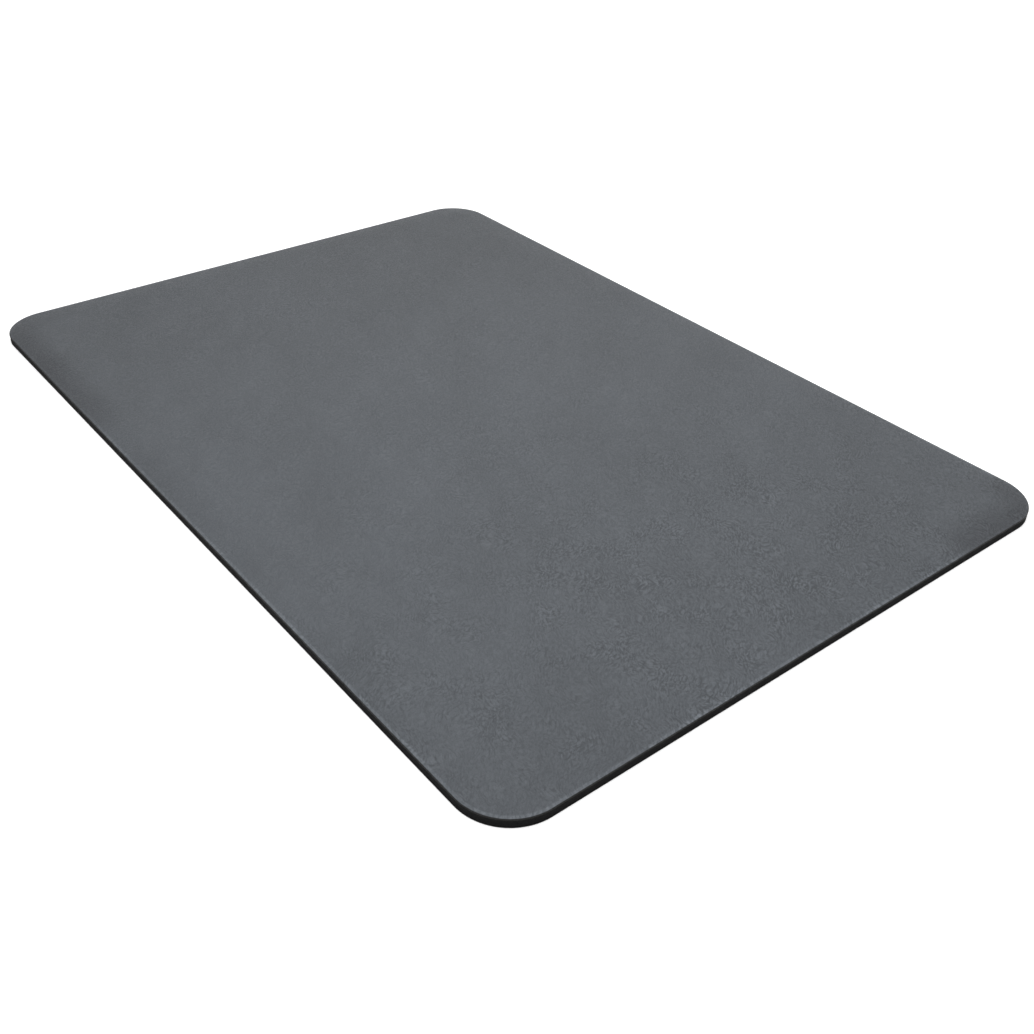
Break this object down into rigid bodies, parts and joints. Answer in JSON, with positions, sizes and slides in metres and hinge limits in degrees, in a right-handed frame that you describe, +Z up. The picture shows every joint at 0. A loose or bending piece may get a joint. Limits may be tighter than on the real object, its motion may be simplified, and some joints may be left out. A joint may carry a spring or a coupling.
{
  "type": "anti fatigue mat",
  "caption": "Flat cushioned standing mat with rounded corners, a rolled border, a leather-grained skin, a foam core and a rubber grip base.",
  "frame": {"origin": "centre of the underside, in the plane of the floor", "axes": "+X along the long side, +Y along the short side, +Z up, out of the face that is stood on"},
  "size_m": [0.85, 0.6, 0.0095],
  "materials": {
    "grip_rubber": "black, matt, low wavy ribs moulded on the underside",
    "adhesive": "dull smoke-coloured hot-melt film",
    "closed_cell_foam": "black, cut closed cells on the side",
    "knit_cloth": "black warp knit",
    "grained_skin": "dark grey, fine leather grain, satin"
  },
  "bodies": {
    "root": {"grip_base": "grip_rubber", "lower_adhesive_film": "adhesive", "foam_core": "closed_cell_foam", "upper_adhesive_film": "adhesive", "knit_backing": "knit_cloth", "wear_skin": "grained_skin"}
  },
  "joints": []
}
